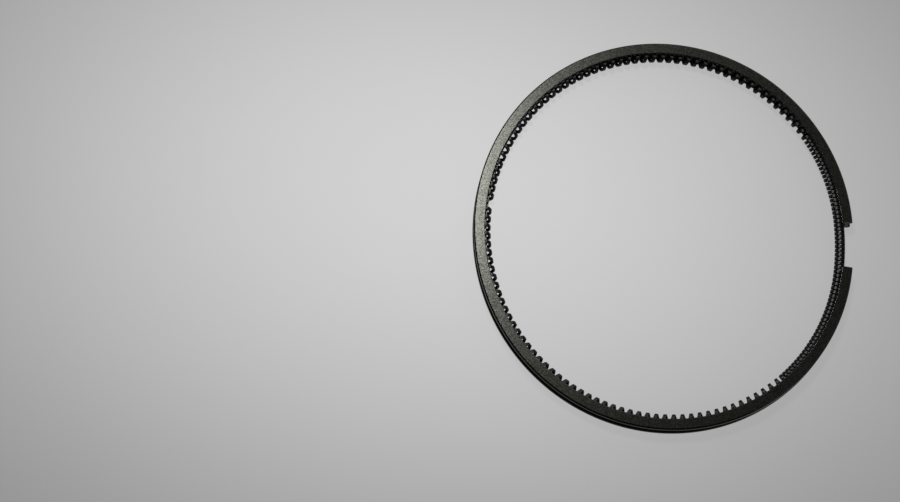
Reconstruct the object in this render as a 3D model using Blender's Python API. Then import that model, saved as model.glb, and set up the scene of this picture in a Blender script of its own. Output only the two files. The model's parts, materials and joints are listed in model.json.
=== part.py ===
"""Oil control piston ring with a coil spring expander, in its free, sprung open shape.

The ring lies flat on its side face. +Z is the ring's axis and +X points at its gap. The origin
lies under the middle of the ring's outline, at the height of the lower side face.
"""

import math

import bpy
import bmesh
import numpy as np
from mathutils import Matrix

MM = 0.001

# Driving dimensions of the ring body
BORE_DIAMETER = 100.0 * MM
CLOSED_GAP = 0.4 * MM
FREE_GAP = 12.35 * MM
FREE_OVALITY = 0.033
WEB_THICKNESS = 0.9 * MM
OUTER_GROOVE_DEPTH = 0.75 * MM
OUTER_GROOVE_FLOOR = 1.7 * MM
GROOVE_FLANK = 0.3 * MM
LAND_HEIGHT = 0.75 * MM
OUTER_EDGE_BEVEL = 0.35 * MM
INNER_EDGE_BEVEL = 0.2 * MM
SEAT_DEPTH = 1.3 * MM

# Driving dimensions of the drain slots through the web
SLOT_COUNT = 12
SLOT_LENGTH = 7.0 * MM
SLOT_LEDGE = 0.35 * MM

# Driving dimensions of the spring and of the wire that joins its ends
WIRE_DIAMETER = 0.95 * MM
WIRE_GRINDING = 0.2 * MM
CLOSE_PITCH = 1.18 * MM
OPEN_PITCH = 2.31 * MM
CLOSE_STRETCH = 72.0 * MM
PITCH_CHANGE = 2.0 * MM
SPRING_SHIFT = -5.1 * MM
LATCH_DIAMETER = 0.6 * MM
LATCH_LENGTH = 24.0 * MM

# Clearances
SEAT_CLEARANCE = 0.25 * MM
LATCH_CLEARANCE = 0.3 * MM
SPRING_END_CLEARANCE = 0.3 * MM

# Fineness of the meshes
BODY_STEPS = 96
SEAT_STEPS = 6
SLOT_END_STEPS = 6
TURN_STEPS = 6
WIRE_SIDES = 5
LATCH_STEPS = 16
LATCH_BEVEL_STEPS = 2
PATH_SAMPLES = 4001
SPREAD_CORRECTIONS = 6
WELD_DISTANCE = 0.001 * MM
SHARP_ANGLE = math.radians(30.0)

# Sizes that follow from the driving dimensions
RADIAL_WALL = OUTER_GROOVE_DEPTH + WEB_THICKNESS + SEAT_DEPTH
RAIL_HEIGHT = OUTER_EDGE_BEVEL + LAND_HEIGHT + GROOVE_FLANK
RING_HEIGHT = OUTER_GROOVE_FLOOR + 2 * RAIL_HEIGHT
CENTRE_RADIUS = (BORE_DIAMETER - RADIAL_WALL) / 2
END_ARC = math.pi - CLOSED_GAP / (2 * CENTRE_RADIUS)
WINDING_RADIUS = LATCH_DIAMETER / 2 + LATCH_CLEARANCE + WIRE_DIAMETER / 2
COIL_RADIUS = WINDING_RADIUS + WIRE_DIAMETER / 2 - WIRE_GRINDING
SEAT_RADIUS = COIL_RADIUS + SEAT_CLEARANCE
AXIS_INSET = SEAT_RADIUS - SEAT_DEPTH
COIL_OFFSET = -(RADIAL_WALL / 2 + AXIS_INSET)
SLOT_HEIGHT = OUTER_GROOVE_FLOOR - 2 * SLOT_LEDGE
SPRING_END_SPACING = WIRE_DIAMETER + SPRING_END_CLEARANCE


def clear_scene():
    """Remove whatever the scene holds."""
    for item in list(bpy.data.objects):
        bpy.data.objects.remove(item, do_unlink=True)


def new_collection(name):
    """Make a collection and link it to the scene."""
    collection = bpy.data.collections.new(name)
    bpy.context.scene.collection.children.link(collection)
    return collection


def metal(name, colour, roughness, metallic):
    """Make a Principled material from the part's colour and finish."""
    material = bpy.data.materials.new(name)
    material.use_nodes = True
    shader = material.node_tree.nodes["Principled BSDF"]
    shader.inputs["Base Color"].default_value = (*colour, 1.0)
    shader.inputs["Roughness"].default_value = roughness
    shader.inputs["Metallic"].default_value = metallic
    return material


def cast_iron():
    """Dark phosphated cast iron of the ring body."""
    return metal("dark_cast_iron", (0.075, 0.077, 0.070), 0.38, 0.85)


def spring_steel():
    """Dark oiled spring steel of the expander."""
    return metal("dark_spring_steel", (0.11, 0.11, 0.10), 0.35, 0.9)


def latch_steel():
    """Plain drawn steel of the latch wire."""
    return metal("drawn_steel_wire", (0.22, 0.22, 0.21), 0.35, 0.95)


def running_sum(values, step):
    """Integrate evenly spaced values by the trapezium rule, from zero."""
    middles = (values[1:] + values[:-1]) / 2
    return np.concatenate([[0.0], np.cumsum(middles)]) * step


def spread_heading(arc, spread):
    """Direction of the sprung open ring at an arc angle from its back.

    A ring that presses evenly on a round bore opens in proportion to the arc angle plus its sine.
    The ovality makes it a little flatter at its back and gap than at its sides.
    """
    return arc - spread * (arc + np.sin(arc)) - FREE_OVALITY * np.sin(2 * arc)


def spread_half_ring(spread):
    """Sample half of the opened centreline, from the back round to the ring end."""
    arc = np.linspace(0.0, END_ARC, PATH_SAMPLES)
    step = CENTRE_RADIUS * (arc[1] - arc[0])
    x = running_sum(np.sin(spread_heading(arc, spread)), step)
    y = running_sum(np.cos(spread_heading(arc, spread)), step)
    return arc, x, y


def free_spread():
    """Find how far the ring opens for its free gap, by a few corrections of a first guess."""
    gap_for_spread = 3 * math.pi * CENTRE_RADIUS
    spread = (FREE_GAP - CLOSED_GAP) / gap_for_spread
    for _ in range(SPREAD_CORRECTIONS):
        _, _, y = spread_half_ring(spread)
        spread += (FREE_GAP - 2 * y[-1]) / gap_for_spread
    return spread


SPREAD = free_spread()
HALF_ARC, HALF_X, HALF_Y = spread_half_ring(SPREAD)


def heading(arc):
    """Direction of the free ring at an arc angle from its back."""
    return spread_heading(arc, SPREAD)


def outline_middle():
    """Distance from the back of the centreline to the middle of the ring's outline, along X."""
    outer_x = HALF_X - np.cos(heading(HALF_ARC)) * RADIAL_WALL / 2
    return (outer_x.min() + outer_x.max()) / 2


OUTLINE_MIDDLE = outline_middle()


def ring_place(arc, offset):
    """Point beside the free centreline, and the angle of its outward direction.

    The arc angle is 0 at the back, positive on the +Y side, and offset counts outwards.
    """
    side = np.sign(arc)
    turned = np.pi - heading(np.abs(arc))
    x = np.interp(np.abs(arc), HALF_ARC, HALF_X) - OUTLINE_MIDDLE + offset * np.cos(turned)
    y = np.interp(np.abs(arc), HALF_ARC, HALF_Y) + offset * np.sin(turned)
    return x, side * y, side * turned


def half_coil_axis():
    """Sample half of the spring's axis, from the middle of the gap round to the back.

    Across the gap the axis is an arc that carries on from both arms of the ring.
    """
    end_x, end_y, end_turned = ring_place(END_ARC, COIL_OFFSET)
    gap_radius = end_y / math.sin(end_turned)
    gap_turned = np.linspace(0.0, end_turned, PATH_SAMPLES)
    gap_x = end_x + gap_radius * (np.cos(gap_turned) - math.cos(end_turned))
    gap_y = gap_radius * np.sin(gap_turned)
    arm_x, arm_y, arm_turned = ring_place(np.linspace(END_ARC, 0.0, PATH_SAMPLES), COIL_OFFSET)
    arm_turned[-1] = math.pi
    x = np.concatenate([gap_x, arm_x[1:]])
    y = np.concatenate([gap_y, arm_y[1:]])
    turned = np.concatenate([gap_turned, arm_turned[1:]])
    lengths = np.hypot(np.diff(x), np.diff(y))
    return np.concatenate([[0.0], np.cumsum(lengths)]), x, y, turned


AXIS_LENGTH, AXIS_X, AXIS_Y, AXIS_TURNED = half_coil_axis()
HALF_LOOP = AXIS_LENGTH[-1]


def axis_place(distance):
    """Point on the spring's axis, and its outward angle, by the distance from the gap's middle.

    The distance is positive on the +Y side and runs on past the back of the ring.
    """
    wrapped = (distance + HALF_LOOP) % (2 * HALF_LOOP) - HALF_LOOP
    side = np.where(wrapped < 0, -1.0, 1.0)
    along = np.abs(wrapped)
    x = np.interp(along, AXIS_LENGTH, AXIS_X)
    y = side * np.interp(along, AXIS_LENGTH, AXIS_Y)
    return x, y, side * np.interp(along, AXIS_LENGTH, AXIS_TURNED)


def poly_curve(name, points, cyclic=False):
    """Make a 3D curve object of straight stretches through the points."""
    data = bpy.data.curves.new(name, "CURVE")
    data.dimensions = "3D"
    spline = data.splines.new("POLY")
    spline.points.add(len(points) - 1)
    for spline_point, point in zip(spline.points, points):
        spline_point.co = (*point, 1.0)
    spline.use_cyclic_u = cyclic
    return bpy.data.objects.new(name, data)


def curve_to_mesh_object(curve, name, collection, helper=None):
    """Turn a curve object into a closed mesh object, and remove the curve and its helper."""
    bpy.context.scene.collection.objects.link(curve)
    if helper is not None:
        bpy.context.scene.collection.objects.link(helper)
    bpy.context.view_layer.update()
    evaluated = curve.evaluated_get(bpy.context.evaluated_depsgraph_get())
    mesh = bpy.data.meshes.new_from_object(evaluated)
    weld(mesh)
    solid = bpy.data.objects.new(name, mesh)
    solid.matrix_world = curve.matrix_world
    collection.objects.link(solid)
    bpy.data.objects.remove(curve, do_unlink=True)
    if helper is not None:
        bpy.data.objects.remove(helper, do_unlink=True)
    return solid


def weld(mesh):
    """Join a swept curve's loose caps to its wall, with the faces pointing out."""
    work = bmesh.new()
    work.from_mesh(mesh)
    bmesh.ops.remove_doubles(work, verts=work.verts, dist=WELD_DISTANCE)
    bmesh.ops.recalc_face_normals(work, faces=work.faces)
    work.to_mesh(mesh)
    work.free()


def finish_solid(solid, material):
    """Give a solid its material, smooth round faces and sharp corners."""
    solid.data.materials.clear()
    solid.data.materials.append(material)
    solid.data.shade_smooth()
    solid.data.set_sharp_from_angle(angle=SHARP_ANGLE)


def body_section():
    """Outline of the body's section as (outward, up) from the middle of the section."""
    outer = RADIAL_WALL / 2
    inner = -RADIAL_WALL / 2
    top = RING_HEIGHT / 2
    rail = [
        (inner, top - INNER_EDGE_BEVEL),
        (inner + INNER_EDGE_BEVEL, top),
        (outer - OUTER_EDGE_BEVEL, top),
        (outer, top - OUTER_EDGE_BEVEL),
        (outer, top - OUTER_EDGE_BEVEL - LAND_HEIGHT),
        (outer - OUTER_GROOVE_DEPTH, OUTER_GROOVE_FLOOR / 2),
    ]
    lower_rail = [(outward, -up) for outward, up in reversed(rail)]
    mouth = math.acos(AXIS_INSET / SEAT_RADIUS)
    seat = []
    for turn in np.linspace(-mouth, mouth, SEAT_STEPS + 1):
        outward = inner - AXIS_INSET + SEAT_RADIUS * math.cos(turn)
        seat.append((outward, SEAT_RADIUS * math.sin(turn)))
    return rail + lower_rail + seat


def swept_body(collection):
    """Sweep the section along the free centreline, from one ring end to the other."""
    path = []
    for arc in np.linspace(END_ARC, -END_ARC, BODY_STEPS + 1):
        x, y, _ = ring_place(arc, 0.0)
        path.append((x, y, RING_HEIGHT / 2))
    section = poly_curve("body_section", [(u, v, 0.0) for u, v in body_section()], cyclic=True)
    curve = poly_curve("body_path", path)
    curve.data.twist_mode = "Z_UP"
    curve.data.bevel_mode = "OBJECT"
    curve.data.bevel_object = section
    curve.data.use_fill_caps = True
    return curve_to_mesh_object(curve, "ring_body", collection, helper=section)


def slot_prism(collection):
    """One slot's cutter: an outline with round ends, as deep as the body's wall."""
    straight = (SLOT_LENGTH - SLOT_HEIGHT) / 2
    outline = []
    for end in (1, -1):
        for step in range(SLOT_END_STEPS + 1):
            turn = math.pi * step / SLOT_END_STEPS - math.pi / 2
            along = end * (straight + SLOT_HEIGHT / 2 * math.cos(turn))
            outline.append((along, end * SLOT_HEIGHT / 2 * math.sin(turn), 0.0))
    curve = poly_curve("slot_outline", outline, cyclic=True)
    curve.data.dimensions = "2D"
    curve.data.fill_mode = "BOTH"
    curve.data.extrude = RADIAL_WALL / 2
    return curve_to_mesh_object(curve, "slot_prism", collection)


def slot_cutters(collection):
    """Set copies of the slot's cutter round the ring, all in one mesh."""
    prism = slot_prism(collection)
    work = bmesh.new()
    for number in range(SLOT_COUNT):
        arc = END_ARC * ((2 * number + 1) / SLOT_COUNT - 1)
        x, y, turned = ring_place(arc, (SEAT_DEPTH - OUTER_GROOVE_DEPTH) / 2)
        place = Matrix.Translation((x, y, RING_HEIGHT / 2))
        place = place @ Matrix.Rotation(turned, 4, "Z") @ Matrix.Rotation(math.pi / 2, 4, "Z")
        place = place @ Matrix.Rotation(math.pi / 2, 4, "X")
        copy = prism.data.copy()
        copy.transform(place)
        work.from_mesh(copy)
        bpy.data.meshes.remove(copy)
    mesh = bpy.data.meshes.new("slot_cutters")
    work.to_mesh(mesh)
    work.free()
    bpy.data.objects.remove(prism, do_unlink=True)
    cutters = bpy.data.objects.new("slot_cutters", mesh)
    cutters.hide_render = True
    cutters.display_type = "WIRE"
    collection.objects.link(cutters)
    return cutters


def ring_body(parts, guides):
    """Two rails with an outer groove, an inner seat for the spring, and slots through the web."""
    body = swept_body(parts)
    finish_solid(body, cast_iron())
    cut = body.modifiers.new("drain_slots", "BOOLEAN")
    cut.operation = "DIFFERENCE"
    cut.solver = "EXACT"
    cut.object = slot_cutters(guides)
    return body


def pitch_at(distance):
    """Pitch of the winding by the distance from the middle of its close stretch."""
    past = np.clip((np.abs(distance) - CLOSE_STRETCH / 2) / PITCH_CHANGE, 0.0, 1.0)
    return CLOSE_PITCH + (OPEN_PITCH - CLOSE_PITCH) * past


def straight_winding():
    """Centreline of the wire, wound straight along +Z to a left hand, from its far end back."""
    reach = HALF_LOOP - SPRING_END_SPACING / 2
    along = np.linspace(-reach, reach, PATH_SAMPLES)
    turns = running_sum(1.0 / pitch_at(along), along[1] - along[0])
    count = int(turns[-1] * TURN_STEPS)
    wanted = np.linspace(turns[-1], 0.0, count + 1)
    angle = 2 * math.pi * wanted
    x = WINDING_RADIUS * np.cos(angle)
    y = -WINDING_RADIUS * np.sin(angle)
    return np.stack([x, y, np.interp(wanted, turns, along)], axis=1)


def wire_section():
    """Outline of the wire: round, with the side that faces out of the coil ground flat."""
    radius = WIRE_DIAMETER / 2
    flat_edge = math.acos(1 - WIRE_GRINDING / radius)
    outline = []
    for turn in np.linspace(flat_edge, 2 * math.pi - flat_edge, WIRE_SIDES):
        outline.append((radius * math.cos(turn), radius * math.sin(turn), 0.0))
    return poly_curve("wire_section", outline, cyclic=True)


def bend_round(mesh):
    """Bend a straight piece that lies along +Z into the seat, right round the ring."""
    straight = np.empty(3 * len(mesh.vertices), dtype=np.float32)
    mesh.vertices.foreach_get("co", straight)
    outward, down, along = straight.reshape(-1, 3).astype(float).T
    x, y, turned = axis_place(along + SPRING_SHIFT)
    x += outward * np.cos(turned)
    y += outward * np.sin(turned)
    bent = np.stack([x, y, RING_HEIGHT / 2 - down], axis=1)
    mesh.vertices.foreach_set("co", bent.ravel())
    mesh.update()


def expander_spring(parts):
    """The wound spring: close turns round the gap and open turns everywhere else."""
    section = wire_section()
    curve = poly_curve("winding_path", straight_winding())
    curve.data.twist_mode = "Z_UP"
    curve.data.bevel_mode = "OBJECT"
    curve.data.bevel_object = section
    curve.data.use_fill_caps = True
    spring = curve_to_mesh_object(curve, "expander_spring", parts, helper=section)
    bend_round(spring.data)
    finish_solid(spring, spring_steel())
    return spring


def latch_wire(parts):
    """The wire that lies inside both ends of the spring, where they meet."""
    joint = HALF_LOOP + SPRING_SHIFT
    path = []
    for along in np.linspace(joint - LATCH_LENGTH / 2, joint + LATCH_LENGTH / 2, LATCH_STEPS + 1):
        x, y, _ = axis_place(along)
        path.append((x, y, RING_HEIGHT / 2))
    curve = poly_curve("latch_path", path)
    curve.data.bevel_depth = LATCH_DIAMETER / 2
    curve.data.bevel_resolution = LATCH_BEVEL_STEPS
    curve.data.use_fill_caps = True
    wire = curve_to_mesh_object(curve, "latch_wire", parts)
    finish_solid(wire, latch_steel())
    return wire


def build():
    """Model the ring's three pieces."""
    clear_scene()
    parts = new_collection("oil_control_piston_ring")
    guides = new_collection("cutters")
    ring_body(parts, guides)
    expander_spring(parts)
    latch_wire(parts)


build()
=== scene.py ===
"""Looks of the oil control piston ring: fine meshes, finishes, light and the photograph's view."""

import json
import math

import bmesh
import bpy
import numpy as np
from mathutils import Matrix, Quaternion, Vector

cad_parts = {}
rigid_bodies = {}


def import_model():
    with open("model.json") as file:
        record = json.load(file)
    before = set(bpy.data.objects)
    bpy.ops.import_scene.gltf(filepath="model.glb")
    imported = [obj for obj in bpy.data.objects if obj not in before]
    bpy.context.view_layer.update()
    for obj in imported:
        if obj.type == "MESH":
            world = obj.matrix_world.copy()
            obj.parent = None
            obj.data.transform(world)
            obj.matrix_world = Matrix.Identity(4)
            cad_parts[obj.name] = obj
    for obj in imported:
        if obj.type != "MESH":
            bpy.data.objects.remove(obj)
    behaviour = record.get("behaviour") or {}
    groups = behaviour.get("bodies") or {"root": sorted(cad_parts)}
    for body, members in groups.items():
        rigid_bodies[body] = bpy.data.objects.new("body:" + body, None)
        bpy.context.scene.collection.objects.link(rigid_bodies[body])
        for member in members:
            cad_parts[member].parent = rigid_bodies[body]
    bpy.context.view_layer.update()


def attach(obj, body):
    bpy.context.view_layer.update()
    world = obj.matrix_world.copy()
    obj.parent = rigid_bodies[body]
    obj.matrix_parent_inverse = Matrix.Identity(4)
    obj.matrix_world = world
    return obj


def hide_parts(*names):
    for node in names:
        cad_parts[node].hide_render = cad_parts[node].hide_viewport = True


MM = 0.001

# Sizes of the ring body, as the frame has them
BORE_DIAMETER = 100.0 * MM
CLOSED_GAP = 0.4 * MM
FREE_GAP = 12.35 * MM
FREE_OVALITY = 0.033
WEB_THICKNESS = 0.9 * MM
OUTER_GROOVE_DEPTH = 0.75 * MM
OUTER_GROOVE_FLOOR = 1.7 * MM
GROOVE_FLANK = 0.3 * MM
LAND_HEIGHT = 0.75 * MM
OUTER_EDGE_BEVEL = 0.35 * MM
INNER_EDGE_BEVEL = 0.2 * MM
SEAT_DEPTH = 1.3 * MM
SLOT_COUNT = 12
SLOT_LENGTH = 7.0 * MM
SLOT_LEDGE = 0.35 * MM

# Sizes of the spring and the latch wire, as the frame has them
WIRE_DIAMETER = 0.95 * MM
WIRE_GRINDING = 0.2 * MM
CLOSE_PITCH = 1.18 * MM
OPEN_PITCH = 2.31 * MM
CLOSE_STRETCH = 72.0 * MM
PITCH_CHANGE = 2.0 * MM
SPRING_SHIFT = -5.1 * MM
LATCH_DIAMETER = 0.6 * MM
LATCH_LENGTH = 24.0 * MM
SEAT_CLEARANCE = 0.25 * MM
LATCH_CLEARANCE = 0.3 * MM
SPRING_END_CLEARANCE = 0.3 * MM

# Fineness and small rounded edges of the visible meshes
BODY_STEPS = 540
SEAT_STEPS = 20
SLOT_END_STEPS = 10
TURN_STEPS = 24
WIRE_SIDES = 12
LATCH_STEPS = 60
LATCH_BEVEL_STEPS = 6
PATH_SAMPLES = 8001
SPREAD_CORRECTIONS = 6
EDGE_ROUNDING = 0.06 * MM
FLOOR_ROUNDING = 0.15 * MM
ROUNDING_STEPS = 3
WELD_DISTANCE = 0.0005 * MM
SHARP_ANGLE = math.radians(40.0)

# Camera: a long lens, aimed at a point of the floor, tilted from straight down
AIM_POINT = Vector((-55.70, -7.57, 0.0)) * MM
CAMERA_DISTANCE = 783.3 * MM
CAMERA_TILT = math.radians(18.918)
CAMERA_LEAN = math.radians(76.959)
CAMERA_ROLL = math.radians(2.371)
SENSOR_WIDTH = 36.0
FOCAL_PIXELS = 3000.0
IMAGE_WIDTH = 900.0
CLIP_END = 100.0

# Floor with a painted pool of light, lamps and room
FLOOR_SIZE = 8.0
FLOOR_DROP = 0.02 * MM
# Painted pool of light on the floor: its brightest point, its stretch, its reach and the darker grey
# beyond it
FLOOR_PAINTED_LIGHT_CENTRE = (-58.0 * MM, 9.5 * MM, 0.0)
FLOOR_PAINTED_LIGHT_STRETCH = (0.71, 1.0, 1.0)
FLOOR_PAINTED_LIGHT_REACH = 154.0 * MM
FLOOR_COLOUR = 0.715
FLOOR_BEYOND_PAINTED_LIGHT = 0.30
FLOOR_CLOUDS = 60.0 * MM
FLOOR_CLOUD_DEPTH = 0.008
FLOOR_ROUGHNESS = 0.8
FLOOR_GLOW_SHARE = 0.8
KEY_PLACE = (-0.0915, 0.1747, 0.40)
KEY_SIZE = 0.12
KEY_TURN = 0.09
KEY_RADIANCE = 18.6
REAR_PLACE = (0.35, 0.75, 0.45)
REAR_SIZE = 0.5
REAR_RADIANCE = 1.6
FILL_PLACE = (1.3, -0.5, 0.7)
FILL_SIZE = 1.0
FILL_RADIANCE = 0.4
ROOM_COLOUR = (0.018, 0.018, 0.018)

# Side faces and narrow faces of the cast iron body: grain, colours and sheen; the narrow faces carry
# painted shade, darker than the level side faces
IRON_CRYSTALS = 0.42 * MM
IRON_FINE_GRAIN = 0.13 * MM
IRON_PATCHES = 5.0 * MM
IRON_SPECKLE = (0.59, 0.81)
IRON_DARK = ((0.057, 0.058, 0.050), (0.082, 0.083, 0.073))
IRON_LIGHT = ((0.120, 0.123, 0.106), (0.146, 0.148, 0.131))
# Painted shade: darker colours of the upright and sloped faces, and the range of levelness over
# which they give way to the side faces' colours
IRON_UPRIGHT_PAINTED_SHADE = ((0.040, 0.040, 0.037), (0.078, 0.079, 0.071))
IRON_PAINTED_SHADE_SLOPES = (0.80, 0.97)
IRON_ROUGHNESS = (0.190, 0.230)
IRON_METALLIC = 0.9
IRON_EDGE_TINT = (0.5, 0.5, 0.5)
IRON_RELIEF = 0.0018 * MM

# Spring wire and latch wire: drawing marks, colours and sheen
SPRING_MARKS = 0.16 * MM
SPRING_PATCHES = 2.5 * MM
SPRING_DARK = ((0.024, 0.024, 0.025), (0.036, 0.036, 0.036))
SPRING_LIGHT = ((0.046, 0.046, 0.046), (0.062, 0.062, 0.060))
SPRING_ROUGHNESS = (0.34, 0.46)
SPRING_METALLIC = 0.9
SPRING_EDGE_TINT = (0.5, 0.5, 0.5)
SPRING_RELIEF = 0.002 * MM
LATCH_MARKS = 0.12 * MM
LATCH_COLOURS = ((0.16, 0.16, 0.155), (0.26, 0.26, 0.25))
LATCH_ROUGHNESS = (0.26, 0.38)
LATCH_RELIEF = 0.002 * MM

# Where the cloudy patterns are stretched from, and how much of the fine grain joins the crystals
PATTERN_MIDDLE = (0.3, 0.7)
FINE_SHARE_OF_COLOUR = 0.4
FINE_SHARE_OF_RELIEF = 0.5

# Sizes that follow
RADIAL_WALL = OUTER_GROOVE_DEPTH + WEB_THICKNESS + SEAT_DEPTH
RAIL_HEIGHT = OUTER_EDGE_BEVEL + LAND_HEIGHT + GROOVE_FLANK
RING_HEIGHT = OUTER_GROOVE_FLOOR + 2 * RAIL_HEIGHT
CENTRE_RADIUS = (BORE_DIAMETER - RADIAL_WALL) / 2
END_ARC = math.pi - CLOSED_GAP / (2 * CENTRE_RADIUS)
WINDING_RADIUS = LATCH_DIAMETER / 2 + LATCH_CLEARANCE + WIRE_DIAMETER / 2
COIL_RADIUS = WINDING_RADIUS + WIRE_DIAMETER / 2 - WIRE_GRINDING
SEAT_RADIUS = COIL_RADIUS + SEAT_CLEARANCE
AXIS_INSET = SEAT_RADIUS - SEAT_DEPTH
COIL_OFFSET = -(RADIAL_WALL / 2 + AXIS_INSET)
SLOT_HEIGHT = OUTER_GROOVE_FLOOR - 2 * SLOT_LEDGE
SPRING_END_SPACING = WIRE_DIAMETER + SPRING_END_CLEARANCE

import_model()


def running_sum(values, step):
    """Integrate evenly spaced values by the trapezium rule, from zero."""
    middles = (values[1:] + values[:-1]) / 2
    return np.concatenate([[0.0], np.cumsum(middles)]) * step


def spread_heading(arc, spread):
    """Direction of the sprung open ring at an arc angle from its back."""
    return arc - spread * (arc + np.sin(arc)) - FREE_OVALITY * np.sin(2 * arc)


def spread_half_ring(spread):
    """Sample half of the opened centreline, from the back round to the ring end."""
    arc = np.linspace(0.0, END_ARC, PATH_SAMPLES)
    step = CENTRE_RADIUS * (arc[1] - arc[0])
    x = running_sum(np.sin(spread_heading(arc, spread)), step)
    y = running_sum(np.cos(spread_heading(arc, spread)), step)
    return arc, x, y


def free_spread():
    """Find how far the ring opens for its free gap, by a few corrections of a first guess."""
    gap_for_spread = 3 * math.pi * CENTRE_RADIUS
    spread = (FREE_GAP - CLOSED_GAP) / gap_for_spread
    for _ in range(SPREAD_CORRECTIONS):
        _, _, y = spread_half_ring(spread)
        spread += (FREE_GAP - 2 * y[-1]) / gap_for_spread
    return spread


SPREAD = free_spread()
HALF_ARC, HALF_X, HALF_Y = spread_half_ring(SPREAD)


def outline_middle():
    """Distance from the back of the centreline to the middle of the ring's outline, along X."""
    outer_x = HALF_X - np.cos(spread_heading(HALF_ARC, SPREAD)) * RADIAL_WALL / 2
    return (outer_x.min() + outer_x.max()) / 2


OUTLINE_MIDDLE = outline_middle()


def ring_place(arc, offset):
    """Point beside the free centreline, and the angle of its outward direction."""
    side = np.sign(arc)
    turned = np.pi - spread_heading(np.abs(arc), SPREAD)
    x = np.interp(np.abs(arc), HALF_ARC, HALF_X) - OUTLINE_MIDDLE + offset * np.cos(turned)
    y = np.interp(np.abs(arc), HALF_ARC, HALF_Y) + offset * np.sin(turned)
    return x, side * y, side * turned


def half_coil_axis():
    """Sample half of the spring's axis, from the middle of the gap round to the back."""
    end_x, end_y, end_turned = ring_place(END_ARC, COIL_OFFSET)
    gap_radius = end_y / math.sin(end_turned)
    gap_turned = np.linspace(0.0, end_turned, PATH_SAMPLES)
    gap_x = end_x + gap_radius * (np.cos(gap_turned) - math.cos(end_turned))
    gap_y = gap_radius * np.sin(gap_turned)
    arm_x, arm_y, arm_turned = ring_place(np.linspace(END_ARC, 0.0, PATH_SAMPLES), COIL_OFFSET)
    arm_turned[-1] = math.pi
    x = np.concatenate([gap_x, arm_x[1:]])
    y = np.concatenate([gap_y, arm_y[1:]])
    turned = np.concatenate([gap_turned, arm_turned[1:]])
    lengths = np.hypot(np.diff(x), np.diff(y))
    return np.concatenate([[0.0], np.cumsum(lengths)]), x, y, turned


AXIS_LENGTH, AXIS_X, AXIS_Y, AXIS_TURNED = half_coil_axis()
HALF_LOOP = AXIS_LENGTH[-1]


def axis_place(distance):
    """Point on the spring's axis, and its outward angle, by the distance from the gap's middle."""
    wrapped = (distance + HALF_LOOP) % (2 * HALF_LOOP) - HALF_LOOP
    side = np.where(wrapped < 0, -1.0, 1.0)
    along = np.abs(wrapped)
    x = np.interp(along, AXIS_LENGTH, AXIS_X)
    y = side * np.interp(along, AXIS_LENGTH, AXIS_Y)
    return x, y, side * np.interp(along, AXIS_LENGTH, AXIS_TURNED)


def poly_curve(name, points, cyclic=False):
    """Make a 3D curve object of straight stretches through the points."""
    data = bpy.data.curves.new(name, "CURVE")
    data.dimensions = "3D"
    spline = data.splines.new("POLY")
    spline.points.add(len(points) - 1)
    coordinates = np.ones((len(points), 4))
    coordinates[:, :3] = points
    spline.points.foreach_set("co", coordinates.ravel())
    spline.use_cyclic_u = cyclic
    return bpy.data.objects.new(name, data)


def curve_to_piece(curve, name, helper=None):
    """Turn a curve object into a closed mesh object, and remove the curve and its helper."""
    scene_objects = bpy.context.scene.collection.objects
    scene_objects.link(curve)
    if helper is not None:
        scene_objects.link(helper)
    bpy.context.view_layer.update()
    evaluated = curve.evaluated_get(bpy.context.evaluated_depsgraph_get())
    mesh = bpy.data.meshes.new_from_object(evaluated)
    work = bmesh.new()
    work.from_mesh(mesh)
    bmesh.ops.remove_doubles(work, verts=work.verts, dist=WELD_DISTANCE)
    bmesh.ops.recalc_face_normals(work, faces=work.faces)
    work.to_mesh(mesh)
    work.free()
    mesh.materials.clear()
    piece = bpy.data.objects.new(name, mesh)
    scene_objects.link(piece)
    bpy.data.objects.remove(curve, do_unlink=True)
    if helper is not None:
        bpy.data.objects.remove(helper, do_unlink=True)
    return piece


def shade(piece, material):
    """Give a piece its material, smooth faces and sharp corners."""
    piece.data.materials.append(material)
    piece.data.shade_smooth()
    piece.data.set_sharp_from_angle(angle=SHARP_ANGLE)


def rounded(corners):
    """Round each (outward, up, radius) corner of a closed outline with a short arc."""
    points = []
    for number, (u, v, radius) in enumerate(corners):
        corner = Vector((u, v))
        if radius == 0:
            points.append(tuple(corner))
            continue
        before = Vector(corners[number - 1][:2]) - corner
        after = Vector(corners[(number + 1) % len(corners)][:2]) - corner
        opening = before.angle(after)
        reach = radius / math.tan(opening / 2)
        start = corner + before.normalized() * reach
        end = corner + after.normalized() * reach
        inward = (before.normalized() + after.normalized()).normalized()
        centre = corner + inward * radius / math.sin(opening / 2)
        for step in range(ROUNDING_STEPS + 1):
            along = start.lerp(end, step / ROUNDING_STEPS) - centre
            points.append(tuple(centre + along.normalized() * radius))
    return points


def body_section():
    """Outline of the body's section as (outward, up), with its small rounded edges."""
    outer = RADIAL_WALL / 2
    inner = -RADIAL_WALL / 2
    top = RING_HEIGHT / 2
    rail = [
        (inner, top - INNER_EDGE_BEVEL, EDGE_ROUNDING),
        (inner + INNER_EDGE_BEVEL, top, EDGE_ROUNDING),
        (outer - OUTER_EDGE_BEVEL, top, EDGE_ROUNDING),
        (outer, top - OUTER_EDGE_BEVEL, EDGE_ROUNDING),
        (outer, top - OUTER_EDGE_BEVEL - LAND_HEIGHT, EDGE_ROUNDING),
        (outer - OUTER_GROOVE_DEPTH, OUTER_GROOVE_FLOOR / 2, FLOOR_ROUNDING),
    ]
    lower_rail = [(outward, -up, radius) for outward, up, radius in reversed(rail)]
    mouth = math.acos(AXIS_INSET / SEAT_RADIUS)
    seat = []
    for turn in np.linspace(-mouth, mouth, SEAT_STEPS + 1):
        outward = inner - AXIS_INSET + SEAT_RADIUS * math.cos(turn)
        seat.append((outward, SEAT_RADIUS * math.sin(turn), 0.0))
    return rounded(rail + lower_rail + seat)


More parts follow.
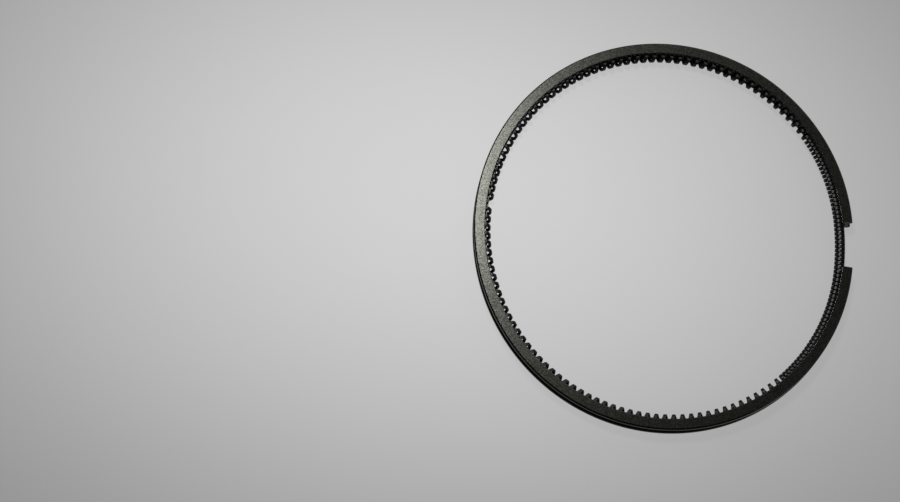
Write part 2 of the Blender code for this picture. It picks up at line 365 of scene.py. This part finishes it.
def slot_prism():
    """One slot's cutter: an outline with round ends, as deep as the body's wall."""
    straight = (SLOT_LENGTH - SLOT_HEIGHT) / 2
    outline = []
    for end in (1, -1):
        for step in range(SLOT_END_STEPS + 1):
            turn = math.pi * step / SLOT_END_STEPS - math.pi / 2
            along = end * (straight + SLOT_HEIGHT / 2 * math.cos(turn))
            outline.append((along, end * SLOT_HEIGHT / 2 * math.sin(turn), 0.0))
    curve = poly_curve("slot_outline", outline, cyclic=True)
    curve.data.dimensions = "2D"
    curve.data.fill_mode = "BOTH"
    curve.data.extrude = RADIAL_WALL / 2
    return curve_to_piece(curve, "slot_prism")


def slot_cutters():
    """Set copies of the slot's cutter round the ring, all in one mesh."""
    prism = slot_prism()
    work = bmesh.new()
    for number in range(SLOT_COUNT):
        arc = END_ARC * ((2 * number + 1) / SLOT_COUNT - 1)
        x, y, turned = ring_place(arc, (SEAT_DEPTH - OUTER_GROOVE_DEPTH) / 2)
        place = Matrix.Translation((x, y, RING_HEIGHT / 2))
        place = place @ Matrix.Rotation(turned, 4, "Z") @ Matrix.Rotation(math.pi / 2, 4, "Z")
        place = place @ Matrix.Rotation(math.pi / 2, 4, "X")
        copy = prism.data.copy()
        copy.transform(place)
        work.from_mesh(copy)
        bpy.data.meshes.remove(copy)
    mesh = bpy.data.meshes.new("slot_cutters")
    work.to_mesh(mesh)
    work.free()
    bpy.data.objects.remove(prism, do_unlink=True)
    cutters = bpy.data.objects.new("slot_cutters", mesh)
    bpy.context.scene.collection.objects.link(cutters)
    return cutters


def apply_modifiers(piece):
    """Replace the piece's mesh by what its modifiers make of it."""
    bpy.context.view_layer.update()
    evaluated = piece.evaluated_get(bpy.context.evaluated_depsgraph_get())
    mesh = bpy.data.meshes.new_from_object(evaluated)
    piece.modifiers.clear()
    piece.data = mesh


def ring_body(material):
    """The two-rail body at full smoothness, with its slots cut."""
    path = []
    for arc in np.linspace(END_ARC, -END_ARC, BODY_STEPS + 1):
        x, y, _ = ring_place(arc, 0.0)
        path.append((x, y, RING_HEIGHT / 2))
    section = poly_curve("body_section", [(u, v, 0.0) for u, v in body_section()], cyclic=True)
    curve = poly_curve("body_path", path)
    curve.data.twist_mode = "Z_UP"
    curve.data.bevel_mode = "OBJECT"
    curve.data.bevel_object = section
    curve.data.use_fill_caps = True
    body = curve_to_piece(curve, "ring_body_fine", helper=section)
    cutters = slot_cutters()
    cut = body.modifiers.new("drain_slots", "BOOLEAN")
    cut.operation = "DIFFERENCE"
    cut.solver = "EXACT"
    cut.object = cutters
    apply_modifiers(body)
    bpy.data.objects.remove(cutters, do_unlink=True)
    shade(body, material)
    weighted = body.modifiers.new("flat_faces_stay_flat", "WEIGHTED_NORMAL")
    weighted.keep_sharp = True
    return body


def pitch_at(distance):
    """Pitch of the winding by the distance from the middle of its close stretch."""
    past = np.clip((np.abs(distance) - CLOSE_STRETCH / 2) / PITCH_CHANGE, 0.0, 1.0)
    return CLOSE_PITCH + (OPEN_PITCH - CLOSE_PITCH) * past


def straight_winding():
    """Centreline of the wire, wound straight along +Z to a left hand, from its far end back."""
    reach = HALF_LOOP - SPRING_END_SPACING / 2
    along = np.linspace(-reach, reach, PATH_SAMPLES)
    turns = running_sum(1.0 / pitch_at(along), along[1] - along[0])
    count = int(turns[-1] * TURN_STEPS)
    wanted = np.linspace(turns[-1], 0.0, count + 1)
    angle = 2 * math.pi * wanted
    x = WINDING_RADIUS * np.cos(angle)
    y = -WINDING_RADIUS * np.sin(angle)
    return np.stack([x, y, np.interp(wanted, turns, along)], axis=1)


def wire_section():
    """Outline of the wire: round, with the side that faces out of the coil ground flat."""
    radius = WIRE_DIAMETER / 2
    flat_edge = math.acos(1 - WIRE_GRINDING / radius)
    outline = []
    for turn in np.linspace(flat_edge, 2 * math.pi - flat_edge, WIRE_SIDES):
        outline.append((radius * math.cos(turn), radius * math.sin(turn), 0.0))
    return poly_curve("wire_section", outline, cyclic=True)


def bend_round(mesh):
    """Bend a straight piece that lies along +Z into the seat, right round the ring."""
    straight = np.empty(3 * len(mesh.vertices), dtype=np.float32)
    mesh.vertices.foreach_get("co", straight)
    outward, down, along = straight.reshape(-1, 3).astype(float).T
    x, y, turned = axis_place(along + SPRING_SHIFT)
    x += outward * np.cos(turned)
    y += outward * np.sin(turned)
    bent = np.stack([x, y, RING_HEIGHT / 2 - down], axis=1)
    mesh.vertices.foreach_set("co", bent.ravel())
    mesh.update()


def expander_spring(material):
    """The wound spring at full smoothness."""
    curve = poly_curve("winding_path", straight_winding())
    curve.data.twist_mode = "Z_UP"
    curve.data.bevel_mode = "OBJECT"
    section = wire_section()
    curve.data.bevel_object = section
    curve.data.use_fill_caps = True
    spring = curve_to_piece(curve, "expander_spring_fine", helper=section)
    bend_round(spring.data)
    shade(spring, material)
    return spring


def latch_wire(material):
    """The wire that lies inside both ends of the spring."""
    joint = HALF_LOOP + SPRING_SHIFT
    along = np.linspace(joint - LATCH_LENGTH / 2, joint + LATCH_LENGTH / 2, LATCH_STEPS + 1)
    x, y, _ = axis_place(along)
    curve = poly_curve("latch_path", np.stack([x, y, np.full(len(x), RING_HEIGHT / 2)], axis=1))
    curve.data.bevel_depth = LATCH_DIAMETER / 2
    curve.data.bevel_resolution = LATCH_BEVEL_STEPS
    curve.data.use_fill_caps = True
    wire = curve_to_piece(curve, "latch_wire_fine")
    shade(wire, material)
    return wire


def grey(level):
    """A nearly neutral pale grey of that brightness."""
    return (level - 0.003, level + 0.002, level - 0.002)


class Finish:
    """A node material, with short calls for the patterns that metal needs."""

    def __init__(self, name):
        self.material = bpy.data.materials.new(name)
        self.material.use_nodes = True
        self.tree = self.material.node_tree
        self.shader = self.tree.nodes["Principled BSDF"]
        coordinates = self.tree.nodes.new("ShaderNodeTexCoord")
        self.place = coordinates.outputs["Object"]
        self.normal = coordinates.outputs["Normal"]

    def noise(self, size, detail=2.0, roughness=0.5):
        """Cloudy pattern between 0 and 1 whose spots are about that size."""
        node = self.tree.nodes.new("ShaderNodeTexNoise")
        node.inputs["Scale"].default_value = 1.0 / size
        node.inputs["Detail"].default_value = detail
        node.inputs["Roughness"].default_value = roughness
        self.tree.links.new(self.place, node.inputs["Vector"])
        return node.outputs["Fac"]

    def distance(self, centre, stretch):
        """Distance from a point, with each direction stretched by its own number."""
        offset = self.vector("SUBTRACT", self.place, centre)
        return self.vector("LENGTH", self.vector("MULTIPLY", offset, stretch), output="Value")

    def vector(self, operation, value, constant=None, output="Vector"):
        """A vector operation on a socket, with a constant where it needs one."""
        node = self.tree.nodes.new("ShaderNodeVectorMath")
        node.operation = operation
        self.tree.links.new(value, node.inputs[0])
        if constant is not None:
            node.inputs[1].default_value = constant
        return node.outputs[output]

    def flatness(self, low, high):
        """Value from 0 to 1 as the surface turns from upright to level."""
        level = self.vector("DOT_PRODUCT", self.normal, (0.0, 0.0, 1.0), output="Value")
        node = self.tree.nodes.new("ShaderNodeMath")
        node.operation = "ABSOLUTE"
        self.tree.links.new(level, node.inputs[0])
        return self.spread(node.outputs["Value"], low, high)

    def spread(self, value, low, high, to_low=0.0, to_high=1.0, kind="LINEAR"):
        """Stretch a value from low and high to the new ends, held there."""
        node = self.tree.nodes.new("ShaderNodeMapRange")
        node.interpolation_type = kind
        node.inputs["From Min"].default_value = low
        node.inputs["From Max"].default_value = high
        node.inputs["To Min"].default_value = to_low
        node.inputs["To Max"].default_value = to_high
        self.tree.links.new(value, node.inputs["Value"])
        return node.outputs["Result"]

    def mix(self, amount, first, second):
        """Colour from first to second, each a colour or a socket."""
        node = self.tree.nodes.new("ShaderNodeMix")
        node.data_type = "RGBA"
        self.tree.links.new(amount, node.inputs["Factor"])
        for colour, socket in ((first, node.inputs[6]), (second, node.inputs[7])):
            if isinstance(colour, tuple):
                socket.default_value = (*colour, 1.0)
            else:
                self.tree.links.new(colour, socket)
        return node.outputs[2]

    def sum(self, first, second, share):
        """The first value plus a share of the second."""
        node = self.tree.nodes.new("ShaderNodeMath")
        node.operation = "MULTIPLY_ADD"
        node.inputs[1].default_value = share
        self.tree.links.new(second, node.inputs[0])
        self.tree.links.new(first, node.inputs[2])
        return node.outputs["Value"]

    def bump(self, height, depth):
        """Raise the surface by the height value times the depth."""
        node = self.tree.nodes.new("ShaderNodeBump")
        node.inputs["Strength"].default_value = 1.0
        node.inputs["Distance"].default_value = depth
        self.tree.links.new(height, node.inputs["Height"])
        self.tree.links.new(node.outputs["Normal"], self.shader.inputs["Normal"])

    def set(self, name, value):
        """Set a socket of the shader, to a number, a colour or a pattern."""
        if isinstance(value, tuple):
            self.shader.inputs[name].default_value = (*value, 1.0)
        elif isinstance(value, (int, float)):
            self.shader.inputs[name].default_value = value
        else:
            self.tree.links.new(value, self.shader.inputs[name])


def phosphated_iron():
    """Dark grey phosphated cast iron: fine crystals, faint patches and a soft sheen, with painted
    shade on the upright and sloped faces.
    """
    finish = Finish("phosphated_iron")
    crystals = finish.noise(IRON_CRYSTALS, detail=3.0, roughness=0.65)
    fine = finish.noise(IRON_FINE_GRAIN, detail=2.0)
    patches = finish.noise(IRON_PATCHES, detail=3.0, roughness=0.6)
    speckle = finish.spread(finish.sum(crystals, fine, FINE_SHARE_OF_COLOUR), *IRON_SPECKLE)
    dark = finish.mix(patches, *IRON_DARK)
    light = finish.mix(patches, *IRON_LIGHT)
    side_face = finish.mix(speckle, dark, light)
    # Painted shade: the upright and sloped narrow faces take a darker colour than the level side
    # faces
    painted_shade_upright_face = finish.mix(speckle, *IRON_UPRIGHT_PAINTED_SHADE)
    finish.set("Base Color", finish.mix(finish.flatness(*IRON_PAINTED_SHADE_SLOPES), painted_shade_upright_face, side_face))
    finish.set("Roughness", finish.spread(crystals, *PATTERN_MIDDLE, *IRON_ROUGHNESS))
    finish.set("Metallic", IRON_METALLIC)
    finish.set("Specular Tint", IRON_EDGE_TINT)
    finish.bump(finish.sum(crystals, fine, FINE_SHARE_OF_RELIEF), IRON_RELIEF)
    return finish.material


def oiled_spring_steel():
    """Dark oiled spring wire, with faint drawing marks and a smooth sheen."""
    finish = Finish("oiled_spring_steel")
    marks = finish.noise(SPRING_MARKS, detail=3.0, roughness=0.6)
    patches = finish.noise(SPRING_PATCHES, detail=2.0)
    dark = finish.mix(patches, *SPRING_DARK)
    light = finish.mix(patches, *SPRING_LIGHT)
    finish.set("Base Color", finish.mix(finish.spread(marks, *PATTERN_MIDDLE), dark, light))
    finish.set("Roughness", finish.spread(marks, *PATTERN_MIDDLE, *SPRING_ROUGHNESS))
    finish.set("Metallic", SPRING_METALLIC)
    finish.set("Specular Tint", SPRING_EDGE_TINT)
    finish.bump(marks, SPRING_RELIEF)
    return finish.material


def drawn_steel():
    """Plain drawn wire of the latch, a little lighter than the spring."""
    finish = Finish("drawn_steel")
    marks = finish.noise(LATCH_MARKS, detail=2.0)
    finish.set("Base Color", finish.mix(marks, *LATCH_COLOURS))
    finish.set("Roughness", finish.spread(marks, *PATTERN_MIDDLE, *LATCH_ROUGHNESS))
    finish.set("Metallic", 1.0)
    finish.bump(marks, LATCH_RELIEF)
    return finish.material


def pale_floor():
    """The pale floor, which stays bright to the camera and to reflections, with a painted pool of
    light that fades from one point to a darker grey.
    """
    finish = Finish("pale_floor")
    clouds = finish.noise(FLOOR_CLOUDS, detail=2.0)
    dim, bright = grey(FLOOR_COLOUR - FLOOR_CLOUD_DEPTH), grey(FLOOR_COLOUR + FLOOR_CLOUD_DEPTH)
    pale = finish.mix(clouds, dim, bright)
    # Painted pool of light: the floor's colour, its glow included, fades from its brightest point to
    # a darker grey further off
    from_painted_light = finish.distance(FLOOR_PAINTED_LIGHT_CENTRE, FLOOR_PAINTED_LIGHT_STRETCH)
    painted_light_falloff = finish.spread(from_painted_light, 0.0, FLOOR_PAINTED_LIGHT_REACH, kind="SMOOTHSTEP")
    colour = finish.mix(painted_light_falloff, pale, grey(FLOOR_BEYOND_PAINTED_LIGHT))
    finish.set("Base Color", colour)
    finish.set("Roughness", FLOOR_ROUGHNESS)
    finish.set("Specular IOR Level", 0.0)
    nodes = finish.tree.nodes
    links = finish.tree.links
    rays = nodes.new("ShaderNodeLightPath")
    seen = finish.sum(finish.sum(rays.outputs["Is Camera Ray"], rays.outputs["Is Glossy Ray"], 1.0),
                      rays.outputs["Is Transmission Ray"], 1.0)
    glow = nodes.new("ShaderNodeEmission")
    links.new(colour, glow.inputs["Color"])
    share = finish.spread(seen, 0.0, 1.0, 0.0, FLOOR_GLOW_SHARE)
    blend = nodes.new("ShaderNodeMixShader")
    links.new(share, blend.inputs["Fac"])
    links.new(finish.shader.outputs["BSDF"], blend.inputs[1])
    links.new(glow.outputs["Emission"], blend.inputs[2])
    links.new(blend.outputs["Shader"], nodes["Material Output"].inputs["Surface"])
    bpy.ops.mesh.primitive_plane_add(size=FLOOR_SIZE, location=(0.0, 0.0, -FLOOR_DROP))
    floor = bpy.context.object
    floor.name = "floor"
    floor.data.materials.append(finish.material)


def softbox(name, place, target, size, radiance):
    """A soft square lamp of that radiance, aimed at a point."""
    data = bpy.data.lights.new(name, "AREA")
    data.shape = "SQUARE"
    data.size = size
    data.energy = radiance * math.pi * size * size
    lamp = bpy.data.objects.new(name, data)
    lamp.location = place
    lamp.rotation_euler = (Vector(target) - Vector(place)).to_track_quat("-Z", "Y").to_euler()
    bpy.context.scene.collection.objects.link(lamp)
    return lamp


def light_scene():
    """A soft lamp over the ring's left rear, weak ones at the rear and the right, and a dim room."""
    key = softbox("key", KEY_PLACE, (KEY_PLACE[0], KEY_PLACE[1], 0.0), KEY_SIZE, KEY_RADIANCE)
    key.rotation_euler = (0.0, 0.0, KEY_TURN)
    softbox("rear", REAR_PLACE, (0.0, 0.0, 0.0), REAR_SIZE, REAR_RADIANCE)
    softbox("fill", FILL_PLACE, (0.0, 0.0, 0.0), FILL_SIZE, FILL_RADIANCE)
    world = bpy.data.worlds.new("room")
    world.use_nodes = True
    background = world.node_tree.nodes["Background"]
    background.inputs["Color"].default_value = (*ROOM_COLOUR, 1.0)
    background.inputs["Strength"].default_value = 1.0
    bpy.context.scene.world = world


def place_camera():
    """The photograph's view: nearly straight down, from the ring's lower left."""
    along = Vector((
        math.sin(CAMERA_TILT) * math.cos(CAMERA_LEAN),
        math.sin(CAMERA_TILT) * math.sin(CAMERA_LEAN),
        -math.cos(CAMERA_TILT),
    ))
    right = along.cross(Vector((0.0, 1.0, 0.0))).normalized()
    right = Quaternion(along, -CAMERA_ROLL) @ right
    up = right.cross(along)
    data = bpy.data.cameras.new("photograph_view")
    data.sensor_width = SENSOR_WIDTH
    data.lens = FOCAL_PIXELS * SENSOR_WIDTH / IMAGE_WIDTH
    data.clip_end = CLIP_END
    camera = bpy.data.objects.new("photograph_view", data)
    turn = Matrix((right, up, -along)).transposed().to_4x4()
    camera.matrix_world = Matrix.Translation(AIM_POINT - along * CAMERA_DISTANCE) @ turn
    bpy.context.scene.collection.objects.link(camera)
    bpy.context.scene.camera = camera


def dress(piece, node):
    """Let a fine piece stand for its node of the frame."""
    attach(piece, "root")
    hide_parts(node)


dress(ring_body(phosphated_iron()), "ring_body")
dress(expander_spring(oiled_spring_steel()), "expander_spring")
dress(latch_wire(drawn_steel()), "latch_wire")
pale_floor()
light_scene()
place_camera()

bpy.context.scene.view_settings.view_transform = "Standard"
